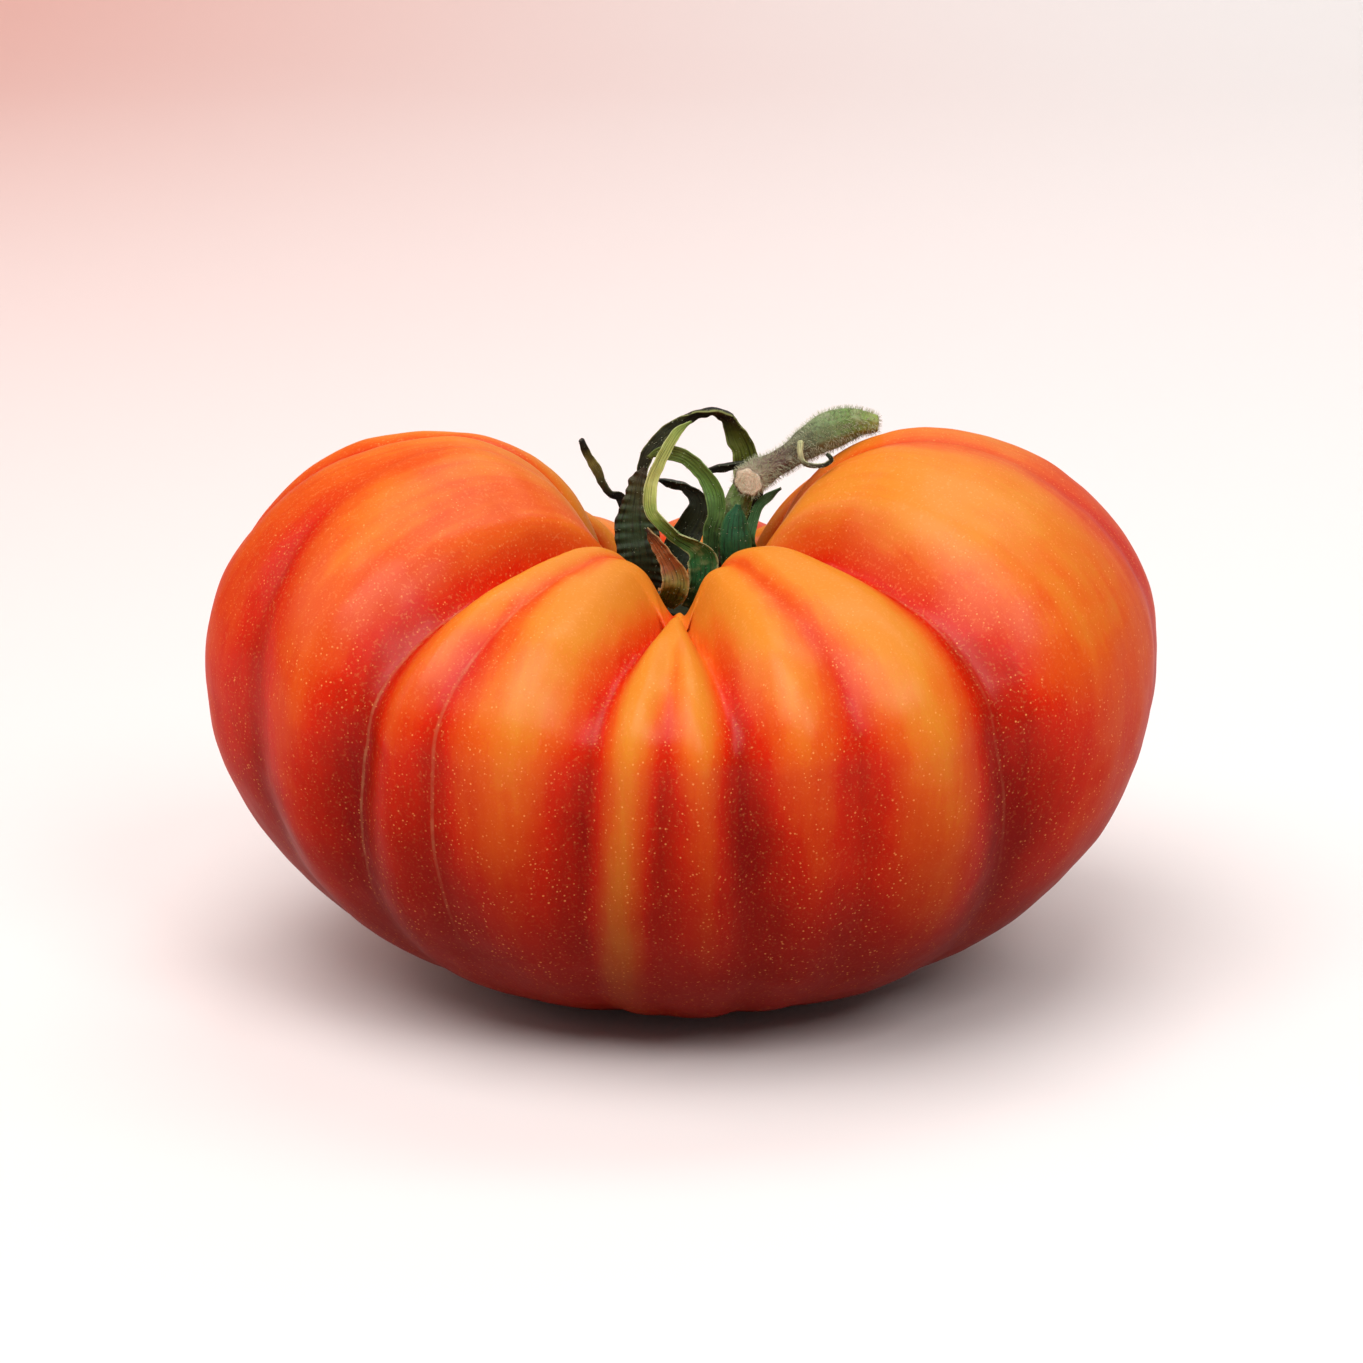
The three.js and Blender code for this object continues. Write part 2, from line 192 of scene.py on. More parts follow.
def meridian_group():
    """A rib's outline: five quarter arcs from the stem scar over the shoulder to the flat spot."""
    own = ["Along", "Shoulder Radius", "Shoulder Height", "Belly Radius"]
    outputs = {"Radius": FLOATS, "Height": FLOATS}
    group, given = new_group("Meridian", dict.fromkeys(own + MERIDIAN_SIZES, FLOATS), outputs)
    along = given["Along"]

    def arc(start, end):
        turn = ramp(along, start, end, "LINEAR") * (math.pi / 2)
        return turn.work("SINE"), 1.0 - turn.work("COSINE")

    floor_sine, floor_ease = arc(0.0, THROAT_AT)
    inner_sine, inner_ease = arc(THROAT_AT, SHOULDER_AT)
    outer_sine, outer_ease = arc(SHOULDER_AT, BELLY_AT)
    lower_sine, lower_ease = arc(BELLY_AT, FOOT_AT)
    foot = ramp(along, FOOT_AT, 1.0, "LINEAR")
    throat, flat = given["Throat Radius"], given["Flat Spot Radius"]
    shoulder, belly = given["Shoulder Radius"], given["Belly Radius"]
    radius = throat * floor_sine + (shoulder - throat) * inner_ease
    radius = radius + (belly - shoulder) * outer_sine - (belly - flat) * lower_ease - flat * foot
    floor, rise = given["Floor Height"], given["Throat Rise"]
    top, waist = given["Shoulder Height"], given["Belly Height"]
    height = floor + rise * floor_ease + (top - floor - rise) * inner_sine
    height = height - (top - waist) * outer_ease - waist * lower_sine
    finish_group(group, Radius=radius, Height=height)
    return group


# Each crease, all the way round. "at" gives the degrees from the front, positive to the right,
# where it crosses the shoulder, the belly and the foot; "deep" is in millimetres at the shoulder
# and the belly. "gold" says how yellow the rib to the right of it is, and how far down.
CREASES = [
    {"at": (-174, -172, -171), "deep": (4.5, 2.2), "gold": (0.45, 0.60)},
    {"at": (-152, -148, -146), "deep": (2.5, 1.6), "gold": (0.50, 0.58)},
    {"at": (-128, -124, -122), "deep": (2.8, 2.2), "gold": (0.40, 0.55)},
    {"at": (-98, -92, -92), "deep": (1.8, 1.4), "gold": (0.45, 0.44)},
    {"at": (-74, -61, -70), "deep": (0.5, 2.0), "gold": (0.36, 0.60)},
    {"at": (-31, -40, -56), "deep": (5.2, 3.2), "gold": (0.65, 0.60)},
    {"at": (-21, -29, -36), "deep": (1.0, 1.1), "gold": (0.78, 0.70)},
    {"at": (-4, -10.5, -17), "deep": (5.0, 3.2), "gold": (1.00, 0.90)},
    {"at": (-1, -2, -4), "deep": (0.0, 1.6), "gold": (0.90, 0.70)},
    {"at": (1, 6.5, 15), "deep": (5.0, 3.2), "gold": (0.75, 0.66)},
    {"at": (13, 20.5, 28), "deep": (1.0, 1.4), "gold": (0.90, 0.74)},
    {"at": (34, 40, 57), "deep": (5.5, 3.4), "gold": (0.50, 0.56)},
    {"at": (84, 82, 84), "deep": (0.5, 1.0), "gold": (0.22, 0.46)},
    {"at": (110, 108, 106), "deep": (3.0, 1.8), "gold": (0.45, 0.56)},
    {"at": (140, 141, 142), "deep": (4.0, 2.2), "gold": (0.50, 0.60)},
    {"at": (162, 165, 166), "deep": (3.0, 1.6), "gold": (0.45, 0.58)},
]
WIDEST_SLOPE = 15  # most degrees that a crease's slope reaches to one side
FULL_RED_DEPTH = 2.0 * MM  # a crease this deep or deeper is fully red


def crease_group():
    """One crease: how deep the skin lies in it, how red it is, and how gold the rib beside it."""
    names = ["Angle", "Along", "Shoulder At", "Belly At", "Foot At", "Shoulder Depth"]
    names += ["Belly Depth", "Left Reach", "Right Reach", "Rib Width", "Gold", "Gold Down To"]
    outputs = {"Depth": FLOATS, "Red": FLOATS, "Gold": FLOATS, "Off": FLOATS}
    group, given = new_group("Crease", dict.fromkeys(names, FLOATS), outputs)
    along = given["Along"]
    turn = ramp(along, SHOULDER_AT, BELLY_AT, "LINEAR") * (math.pi / 2)
    upper = between(given["Shoulder At"], given["Belly At"], turn.work("SINE"))
    middle = between(upper, given["Foot At"], ramp(along, BELLY_AT, FOOT_AT, "LINEAR"))
    off = (given["Angle"] - middle).work("WRAP", 180.0, -180.0)
    down = ramp(along, SHOULDER_AT, BELLY_AT + 0.06)
    blunt = 0.3 + 2.2 * down  # degrees: a knife-sharp fold at the shoulder, a valley lower down
    distance = (off * off + blunt * blunt) ** 0.5 - blunt
    reach = between(given["Left Reach"], given["Right Reach"], off.work("GREATER_THAN", 0.0))
    near = (1.0 - distance / reach).work("MAXIMUM", 0.0)
    in_cavity = ramp(along, THROAT_AT / 2, (THROAT_AT + SHOULDER_AT) / 2)
    fade = 1.0 - 0.84 * ramp(along, BELLY_AT, 0.78) - 0.16 * ramp(along, 0.78, FOOT_AT)
    depth = between(given["Shoulder Depth"] * in_cavity, given["Belly Depth"] * fade, down)
    gold_share = ramp(off / given["Rib Width"], 0.0, 1.0, "LINEAR") * math.pi
    gold_down = 1.0 - ramp(along, given["Gold Down To"] - 0.25, given["Gold Down To"])
    results = {
        "Depth": near ** 2.0 * depth,
        "Red": near ** 2.3 * (depth / FULL_RED_DEPTH).work("MINIMUM", 1.0),
        "Gold": gold_share.work("SINE") ** 0.8 * given["Gold"] * gold_down,
        "Off": off,
    }
    finish_group(group, **results)
    return group


def turn_to(start, end):
    """The degrees from one angle to another, the short way round."""
    return (end - start + 180) % 360 - 180


def crease_values(index):
    """A crease's own numbers and what it takes from its neighbours."""
    crease = CREASES[index]
    here = crease["at"][1]
    left = turn_to(CREASES[index - 1]["at"][1], here)
    right = turn_to(here, CREASES[(index + 1) % len(CREASES)]["at"][1])
    values = dict(zip(("Shoulder At", "Belly At", "Foot At"), map(float, crease["at"])))
    values["Shoulder Depth"], values["Belly Depth"] = (depth * MM for depth in crease["deep"])
    values["Left Reach"] = min(left / 2, WIDEST_SLOPE)
    values["Right Reach"] = min(right / 2, WIDEST_SLOPE)
    values["Rib Width"] = right
    values["Gold"], values["Gold Down To"] = crease["gold"]
    return values


FRUIT_SIZES = ["Side Shoulder Radius", "Side Shoulder Height", "Half Width"]
FRUIT_SIZES += ["Front Shoulder Radius", "Front Shoulder Height", "Front Depth"]
FRUIT_SIZES += ["Back Shoulder Radius", "Back Shoulder Height", "Back Depth"]
FRUIT_SIZES += ["Notch Angle", "Notch Reach", "Notch Depth", "Unevenness"]

# A side lobe rises from the front and the back ribs between these degrees off front and back.
FRONT_RISE = (23, 72)
BACK_RISE = (14, 82)
# The creases with a corky thread: which one, and how plain the thread is.
SCARRED = {"scar_left": (5, 1.0), "scar_middle": (6, 0.8), "scar_right": (11, 0.3)}


def fruit_group():
    """The whole fruit: meridians joined into a body, then creased and left slightly uneven."""
    inputs = {"Columns": "Int", "Rows": "Int", "Skin": "Material"}
    inputs.update(dict.fromkeys(FRUIT_SIZES + MERIDIAN_SIZES, FLOATS))
    tree, given = new_group("Fruit", inputs, {"Geometry": "Geometry"})
    values = {"Segments": given["Columns"], "Rings": given["Rows"], "Radius": 1.0}
    ball = place(tree, "GeometryNodeMeshUVSphere", values)
    spot = tree.nodes.new("ShaderNodeSeparateXYZ")
    feed(tree, spot.inputs[0], place(tree, "GeometryNodeInputPosition"))
    x, y, z = (Field(tree, socket) for socket in spot.outputs)
    turn = x.work("ARCTAN2", -y)
    along = z.work("MAXIMUM", -1.0).work("MINIMUM", 1.0).work("ARCCOSINE") / math.pi
    ball = store(tree, ball, "turn", turn)
    ball = store(tree, ball, "along", along)
    turn = place(tree, "GeometryNodeInputNamedAttribute", {"Name": "turn"}, data_type="FLOAT")
    along = place(tree, "GeometryNodeInputNamedAttribute", {"Name": "along"}, data_type="FLOAT")

    meridian = meridian_group()
    ends = {}
    for side, belly in (("Side", "Half Width"), ("Front", "Front Depth"), ("Back", "Back Depth")):
        values = {size: given[size] for size in MERIDIAN_SIZES}
        values["Shoulder Radius"] = given[side + " Shoulder Radius"]
        values["Shoulder Height"] = given[side + " Shoulder Height"]
        values["Belly Radius"] = given[belly]
        ends[side] = call(tree, meridian, values | {"Along": along})
    cosine = turn.work("COSINE")
    in_front = cosine.work("GREATER_THAN", 0.0)
    off_end = cosine.work("ABSOLUTE").work("ARCCOSINE") * DEGREES
    side_share = between(ramp(off_end, *BACK_RISE), ramp(off_end, *FRONT_RISE), in_front)
    end_radius = between(ends["Back"]["Radius"], ends["Front"]["Radius"], in_front)
    end_height = between(ends["Back"]["Height"], ends["Front"]["Height"], in_front)
    values = {
        "X": ends["Side"]["Radius"] * turn.work("SINE"),
        "Y": -(end_radius * cosine),
        "Z": between(end_height, ends["Side"]["Height"], side_share),
    }
    body_place = place(tree, "ShaderNodeCombineXYZ", values)
    body = place(tree, "GeometryNodeSetPosition", {"Geometry": ball, "Position": body_place})

    degrees = turn * DEGREES
    crease = crease_group()
    folds = []
    for index in range(len(CREASES)):
        values = crease_values(index) | {"Angle": degrees, "Along": along}
        folds.append(call(tree, crease, values))
    notch_off = (degrees - given["Notch Angle"]).work("WRAP", 180.0, -180.0).work("ABSOLUTE")
    notch = (1.0 - notch_off / given["Notch Reach"]).work("MAXIMUM", 0.0) ** 1.3
    notch = notch * given["Notch Depth"] * ramp(along, THROAT_AT / 2, (THROAT_AT + SHOULDER_AT) / 2)
    depth = notch * (1.0 - ramp(along, SHOULDER_AT, BELLY_AT))
    red, gold = folds[0]["Red"], folds[0]["Gold"]
    for fold in folds:
        depth = depth + fold["Depth"]
        red = red.work("MAXIMUM", fold["Red"])
        gold = gold.work("MAXIMUM", fold["Gold"])
    broad = place(tree, "ShaderNodeTexNoise", {"Scale": 70.0, "Detail": 1.0}, noise_dimensions="3D")
    fine = place(tree, "ShaderNodeTexNoise", {"Scale": 190.0, "Detail": 1.0}, noise_dimensions="3D")
    above_foot = 1.0 - ramp(along, FOOT_AT - 0.1, FOOT_AT)
    uneven = (broad - 0.5 + (fine - 0.5) * 0.35) * given["Unevenness"]
    uneven = uneven * above_foot * ramp(along, THROAT_AT, 0.2)
    normal = place(tree, "GeometryNodeInputNormal")
    values = {"Geometry": body, "Offset": normal * (uneven - depth)}
    skin = place(tree, "GeometryNodeSetPosition", values)
    skin = store(tree, skin, "red", red)
    skin = store(tree, skin, "gold", gold)
    for name, (index, _) in SCARRED.items():
        skin = store(tree, skin, name, folds[index]["Off"])
    skin = place(tree, "GeometryNodeSetShadeSmooth", {"Geometry": skin, "Shade Smooth": True})
    skin = place(tree, "GeometryNodeRealizeInstances", {"Geometry": skin})
    skin = place(tree, "GeometryNodeSetMaterial", {"Geometry": skin, "Material": given["Skin"]})
    finish_group(tree, Geometry=skin)
    return tree


def colour(red, green, blue):
    """A shade given in 0 to 255 as a paint chart does, made linear."""
    def linear(part):
        part = part / 255
        return part / 12.92 if part <= 0.04045 else ((part + 0.055) / 1.055) ** 2.4
    return (linear(red), linear(green), linear(blue), 1.0)


def new_material(name):
    """A material with only its shader, and that shader's sockets by name."""
    material = bpy.data.materials.new(name)
    material.use_nodes = True
    tree = material.node_tree
    return material, tree, tree.nodes["Principled BSDF"].inputs


def kept(tree, name):
    """A value that the mesh keeps under a name."""
    return place(tree, "ShaderNodeAttribute", output="Fac", attribute_name=name)


def tint(tree, share, low, high):
    """A mix of two colours."""
    node = tree.nodes.new("ShaderNodeMix")
    node.data_type = "RGBA"
    feed(tree, node.inputs["Factor"], share)
    feed(tree, node.inputs[6], low)
    feed(tree, node.inputs[7], high)
    return Field(tree, node.outputs[2])


def noise(tree, scale, detail=2.0, coordinates=None):
    """Soft noise over the piece's own coordinates, in bumps to the metre."""
    if coordinates is None:
        coordinates = place(tree, "ShaderNodeTexCoord", output="Object")
    values = {"Vector": coordinates, "Scale": scale, "Detail": detail}
    return place(tree, "ShaderNodeTexNoise", values)


GOLD = colour(220, 132, 38)
ORANGE = colour(222, 92, 22)
SCARLET = colour(208, 36, 5)
CRIMSON = colour(140, 12, 4)
SHADED_MAROON = colour(96, 8, 3)
SPECKLE = colour(246, 172, 96)
CORK = colour(205, 160, 110)
SHADED_OLIVE_SKIN = colour(96, 88, 30)
SPECKLES_PER_METRE = 1600.0


def skin_material():
    """Waxy tomato skin: gold crests, scarlet flanks, crimson creases, fine pale speckles, and a maroon
    underside that is partly painted shade.
    """
    material, tree, shader = new_material("tomato_skin")
    turn, along = kept(tree, "turn"), kept(tree, "along")
    red, gold = kept(tree, "red"), kept(tree, "gold")
    values = {"X": turn.work("SINE"), "Y": turn.work("COSINE"), "Z": along * 0.35}
    lengthwise = place(tree, "ShaderNodeCombineXYZ", values)
    fibres = noise(tree, 26.0, 3.0, lengthwise)
    fine_fibres = noise(tree, 95.0, 2.0, lengthwise)
    patches = noise(tree, 45.0, 3.0)
    blotches = noise(tree, 240.0, 3.0)

    ripe = 0.36 + ramp(along, 0.24, 0.62) * 0.42 + (patches - 0.5) * 0.75 + (fibres - 0.5) * 0.30
    ripe = ripe + (blotches - 0.5) * 0.22 + (fine_fibres - 0.5) * 0.08
    grain = noise(tree, 2600.0)
    ripe = ripe + (grain - 0.5) * 0.22 - gold * 0.62 + red * 0.55
    shades = tint(tree, ramp(ripe, 0.02, 0.40, "LINEAR"), GOLD, ORANGE)
    shades = tint(tree, ramp(ripe, 0.35, 0.80, "LINEAR"), shades, SCARLET)
    shades = tint(tree, ramp(ripe, 0.80, 1.40, "LINEAR"), shades, CRIMSON)
    # Darker towards the bottom, to maroon: partly the fruit's own deeper red, partly painted shade where the
    # belly turns away from the light.
    under = ramp(along + (patches - 0.5) * 0.08, 0.47, 0.74) * 0.90
    shades = tint(tree, under, shades, SHADED_MAROON)

    # Pale speckles: most are pin pricks, a few are as wide as a quarter of a millimetre. The
    # shoulders have a finer, softer mottle as well.
    spot = place(tree, "ShaderNodeTexCoord", output="Object")
    cells = place(tree, "ShaderNodeTexVoronoi", {"Vector": spot, "Scale": SPECKLES_PER_METRE}, "Distance")
    chance = place(tree, "ShaderNodeSeparateColor", {"Color": cells.also("Color")})
    size = 0.10 + chance * 0.15 + ramp(along, 0.35, 0.7) * 0.05
    speckles = 1.0 - ramp(cells / size, 0.5, 1.0)
    speckles = speckles * (0.35 + ramp(noise(tree, 130.0), 0.35, 0.65) * 0.65)
    mottle = 0.40 - ramp(along, 0.30, 0.60) * 0.26
    speckles = speckles.work("MAXIMUM", ramp(grain, 0.52, 0.74) * mottle)
    # The speckles fade where the underside's painted shade lies.
    shades = tint(tree, speckles * 0.6 * (1.0 - under * 0.6), shades, SPECKLE)

    # Thin corky threads along the sutures.
    thread_span = ramp(along, 0.27, 0.33) * (1.0 - ramp(along, 0.55, 0.72))
    thread = None
    for name, (_, strength) in SCARRED.items():
        line = (1.0 - ramp(kept(tree, name).work("ABSOLUTE"), 0.10, 0.34)) * strength
        thread = line if thread is None else thread.work("MAXIMUM", line)
    thread = thread * thread_span * (0.4 + ramp(noise(tree, 420.0), 0.35, 0.65) * 0.6)
    shades = tint(tree, thread * 0.22, shades, CORK)

    # Olive skin round the stem's disc, partly unripe skin and partly painted shade down the cavity's
    # walls, and the small brown scar that the flower left.
    olive_collar_and_shade = (1.0 - ramp(along + (blotches - 0.5) * 0.02, 0.03, 0.07)) * 0.55
    shades = tint(tree, olive_collar_and_shade, shades, SHADED_OLIVE_SKIN)
    flower_scar = ramp(along + (blotches - 0.5) * 0.02, 0.965, 0.985) * 0.7
    shades = tint(tree, flower_scar, shades, CORK)
    feed(tree, shader["Base Color"], shades)

    shader["IOR"].default_value = 1.45
    shader["Subsurface Weight"].default_value = 0.10
    shader["Subsurface Radius"].default_value = (1.0, 0.30, 0.12)
    shader["Subsurface Scale"].default_value = 0.003
    facing = place(tree, "ShaderNodeLayerWeight", {"Blend": 0.5}, output="Facing")
    waxy = (1.0 - ramp(facing, 0.35, 0.85)) * (1.0 - ramp(along, 0.40, 0.58) * 0.9)
    shader["Specular IOR Level"].default_value = 0.03
    shader["Specular Tint"].default_value = (1.0, 0.78, 0.66, 1.0)
    feed(tree, shader["Coat Weight"], waxy * 0.45)
    shader["Coat Roughness"].default_value = 0.33
    feed(tree, shader["Roughness"], 0.40 + (blotches - 0.5) * 0.14 + speckles * 0.12)
    relief = speckles * 0.35 + grain * 0.5 + blotches * 1.2 + fine_fibres * 1.5
    values = {"Strength": 0.35, "Distance": 0.05 * MM, "Height": relief}
    feed(tree, shader["Normal"], place(tree, "ShaderNodeBump", values))
    return material


fruit_low, fruit_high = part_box("fruit")
stem_low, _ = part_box("stem")
FLOOR_GAP = 0.3 * MM  # between the cavity's floor and the stem's disc
cavity_floor = stem_low.z - FLOOR_GAP
shoulder_height = fruit_high.z + 0.1 * MM
fruit_sizes = {
    "Columns": 440,
    "Rows": 210,
    "Skin": skin_material(),
    "Throat Radius": 11.0 * MM,
    "Floor Height": cavity_floor,
    "Throat Rise": 3.8 * MM,
    "Belly Height": 42.5 * MM,
    "Flat Spot Radius": 10.5 * MM,
    "Side Shoulder Radius": 29.5 * MM,
    "Side Shoulder Height": shoulder_height,
    "Half Width": fruit_high.x + 0.2 * MM,
    "Front Shoulder Radius": 19.8 * MM,
    "Front Shoulder Height": shoulder_height - 9.7 * MM,
    "Front Depth": 0.1 * MM - fruit_low.y,
    "Back Shoulder Radius": 18.5 * MM,
    "Back Shoulder Height": shoulder_height - 17.4 * MM,
    "Back Depth": fruit_high.y + 0.1 * MM,
    "Notch Angle": -2.0,
    "Notch Reach": 20.0,
    "Notch Depth": 6.5 * MM,
    "Unevenness": 0.9 * MM,
}
fruit = grown("tomato_fruit", fruit_group(), fruit_sizes)
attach(fruit, "root")
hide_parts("fruit")

# ==== The sepals ====
# Ten narrow leaves that grew from the rim of the stem's disc. They have dried since the fruit
# was picked, so they twist, curl over and turn brown from the tips. Each one is a thin strip,
# thickest along its midrib, with its edges slightly rolled.

STRAND_SIZES = ["Thickness", "Cup", "Crumple", "Ruffle", "Ruffles", "Ribs", "Taper", "Hairs", "Hair Length"]


def strand_group():
    """A strip or a twig along a route: its half widths are the route's radii. No thickness
    gives it a round section."""
    inputs = {"Route": "Geometry", "Sides": "Int", "Steps": "Int", "Skin": "Material", "Down": "Material"}
    tree, given = new_group("Strand", inputs | dict.fromkeys(STRAND_SIZES, FLOATS), {"Geometry": "Geometry"})
    route = place(tree, "GeometryNodeCurveSplineType", {"Curve": given["Route"]}, spline_type="CATMULL_ROM")
    route = place(tree, "GeometryNodeSetSplineResolution", {"Geometry": route, "Resolution": 16})
    values = {"Vertices": given["Sides"], "Side Segments": given["Steps"], "Fill Segments": 4}
    values |= {"Radius": 1.0, "Depth": 1.0}
    tube = place(tree, "GeometryNodeMeshCylinder", values, fill_type="TRIANGLE_FAN")
    spot = place(tree, "ShaderNodeSeparateXYZ", {"Vector": place(tree, "GeometryNodeInputPosition")})
    across, out = spot, spot.also("Y")
    reach = (spot.also("Z") + 0.5).work("MAXIMUM", 0.0).work("MINIMUM", 1.0)
    values = {"Curves": route, "Value": place(tree, "GeometryNodeInputRadius"), "Factor": reach}
    sample = place(tree, "GeometryNodeSampleCurve", values, mode="FACTOR", use_all_curves=True)
    middle, tangent = sample.also("Position"), sample.also("Tangent")
    values["Value"] = place(tree, "GeometryNodeInputCurveTilt")
    twist = place(tree, "GeometryNodeSampleCurve", values, mode="FACTOR", use_all_curves=True)

    front = place(tree, "ShaderNodeCombineXYZ", {"Y": -1.0})
    face = (front - tangent * front.work("DOT_PRODUCT", tangent)).work("NORMALIZE")
    side = face.work("CROSS_PRODUCT", tangent)
    cosine, sine = twist.work("COSINE"), twist.work("SINE")
    turned_face = face * cosine + side * sine
    turned_side = side * cosine - face * sine

    tip = 1.0 - given["Taper"] * ramp(reach, 0.90, 1.0)
    long_noise = place(tree, "ShaderNodeTexNoise", {"Vector": middle, "Scale": 320.0, "Detail": 1.0})
    half = sample * tip * (1.0 + (long_noise - 0.5) * given["Crumple"] * 0.9)
    leaf = given["Thickness"].work("GREATER_THAN", 0.0)
    edge = across * across
    midrib = 1.0 + given["Ribs"] * ((across * 14.0).work("COSINE") * 0.5 + 0.5 - edge)
    thickness = given["Thickness"] / 2.0 * midrib
    bark = 1.0 + given["Ribs"] * (across.work("ARCTAN2", out) * 7.0 + reach * 5.0).work("SINE") * 0.12
    rise = out * between(half * bark, thickness, leaf)
    cup = given["Cup"] * half * (edge - 0.4)
    ruffle = (reach * given["Ruffles"] * (2 * math.pi)).work("SINE") * edge * given["Ruffle"]
    flat_place = middle + turned_side * (across * half * between(bark, 1.0, leaf))
    creased = place(tree, "ShaderNodeTexNoise", {"Vector": flat_place, "Scale": 520.0, "Detail": 2.0})
    lumps = (creased - 0.5) * given["Crumple"] * 1.1 * MM
    position = flat_place + turned_face * (rise + cup + ruffle + lumps * between(out, 1.0, leaf))
    tube = store(tree, tube, "reach", reach)
    tube = store(tree, tube, "across", across)
    tube = store(tree, tube, "radial", (across * across + out * out) ** 0.5)
    strand = place(tree, "GeometryNodeSetPosition", {"Geometry": tube, "Position": position})
    strand = place(tree, "GeometryNodeSetShadeSmooth", {"Geometry": strand, "Shade Smooth": True})
    strand = place(tree, "GeometryNodeRealizeInstances", {"Geometry": strand})
    strand = place(tree, "GeometryNodeSetMaterial", {"Geometry": strand, "Material": given["Skin"]})

    # Short soft hairs that stand off the surface.
    values = {"Mesh": strand, "Density": given["Hairs"], "Seed": 4}
    spots = place(tree, "GeometryNodeDistributePointsOnFaces", values, distribute_method="RANDOM")
    values = {"Vertices": 3, "Radius Bottom": 0.03 * MM, "Radius Top": 0.003 * MM}
    values["Depth"] = given["Hair Length"]
    hair = place(tree, "GeometryNodeMeshCone", values)
    values = {"Min": (-0.6, -0.6, -0.6), "Max": (0.6, 0.6, 0.6), "Seed": 5}
    lean = place(tree, "FunctionNodeRandomValue", values, data_type="FLOAT_VECTOR")
    aim = spots.also("Normal") + lean
    turn = place(tree, "FunctionNodeAlignRotationToVector", {"Vector": aim}, axis="Z")
    values = {"Points": spots, "Instance": hair, "Rotation": turn}
    hairs = place(tree, "GeometryNodeInstanceOnPoints", values)
    hairs = place(tree, "GeometryNodeRealizeInstances", {"Geometry": hairs})
    hairs = place(tree, "GeometryNodeSetMaterial", {"Geometry": hairs, "Material": given["Down"]})
    both = tree.nodes.new("GeometryNodeJoinGeometry")
    for part in (hairs, strand):
        feed(tree, both.inputs["Geometry"], part)
    finish_group(tree, Geometry=Field(tree, both.outputs["Geometry"]))
    return tree


def route_curve(name, stations, base):
    """A route through (x, y, height over the base, half width, twist in degrees), in millimetres."""
    curve = bpy.data.curves.new(name + "_route", "CURVE")
    curve.dimensions = "3D"
    spline = curve.splines.new("POLY")
    spline.points.add(len(stations) - 1)
    for point, (x, y, up, half, *twist) in zip(spline.points, stations):
        point.co = (x * MM, y * MM, base + up * MM, 1.0)
        point.radius = half * MM
        point.tilt = (twist[0] if twist else 0) / DEGREES
    return curve


NEAR_BLACK = (0.004, 0.005, 0.002, 1.0)  # near black, mixed into the leaves in dark lengthwise streaks


def banded(tree, along, shades):
    """Shades from end to end of a strand, each with its place from 0 to 1."""
    band = place(tree, "ShaderNodeValToRGB", {"Fac": along})
    stops = band.socket.node.color_ramp.elements
    for index, (at, shade) in enumerate(shades):
        stop = stops[index] if index < 2 else stops.new(at)
        stop.position = at
        stop.color = colour(*shade)
    return band


def leaf_material(name, shades, edge_shade):
    """A drying leaf: shades from foot to tip, its own edge shade, dark lengthwise streaks, furrows and
    wrinkles.
    """
    material, tree, shader = new_material(name)
    reach, across = kept(tree, "reach"), kept(tree, "across")
    blotches, grain = noise(tree, 700.0, 3.0), noise(tree, 2600.0, 2.0)
    band = banded(tree, reach + (blotches - 0.5) * 0.16, shades)
    lengthwise = place(tree, "ShaderNodeCombineXYZ", {"X": across * 7.0, "Y": reach * 4.0})
    furrows = noise(tree, 1.0, 2.0, lengthwise)
    dark = tint(tree, 0.72, band, NEAR_BLACK)
    shade = tint(tree, ramp(furrows, 0.47, 0.64) * 0.85, band, dark)
    light = tint(tree, 0.45, band, colour(*edge_shade))
    shade = tint(tree, ramp(blotches, 0.52, 0.75) * 0.5, shade, light)
    rim = ramp(across.work("ABSOLUTE"), 0.80, 0.97) * ramp(grain, 0.3, 0.5)
    shade = tint(tree, rim * 0.6, shade, colour(*edge_shade))
    feed(tree, shader["Base Color"], shade)
    feed(tree, shader["Roughness"], 0.62 + (grain - 0.5) * 0.3)
    shader["Specular IOR Level"].default_value = 0.35
    relief = furrows * 1.0 + grain * 0.35 + blotches * 0.5
    values = {"Strength": 0.9, "Distance": 0.16 * MM, "Height": relief}
    feed(tree, shader["Normal"], place(tree, "ShaderNodeBump", values))
    return material


def down_material():
    """The soft grey-green hairs of the calyx and the stem."""
    material, tree, shader = new_material("calyx_down")
    shades = tint(tree, noise(tree, 500.0), colour(150, 160, 120), colour(205, 205, 175))
    feed(tree, shader["Base Color"], shades)
    shader["Roughness"].default_value = 0.7
    return material


strand = strand_group()
down = down_material()
sepal_foot = stem_low.z + 2.3 * MM  # just over the disc's top

# The deepest leaf green also stands for painted shade where it lies at the sepals' feet in the cavity; at
# the tendril's end it is the tendril's own colour.
OLIVE, DARK_OLIVE, LEAF, DEEP_LEAF_AND_SHADE = (104, 118, 42), (44, 48, 22), (84, 122, 46), (20, 42, 20)
STRAW, SPRING, TEAL, SOOT = (186, 186, 100), (128, 152, 60), (22, 84, 50), (24, 20, 14)
RUST, UMBER, PALE = (134, 72, 30), (58, 36, 20), (205, 208, 150)
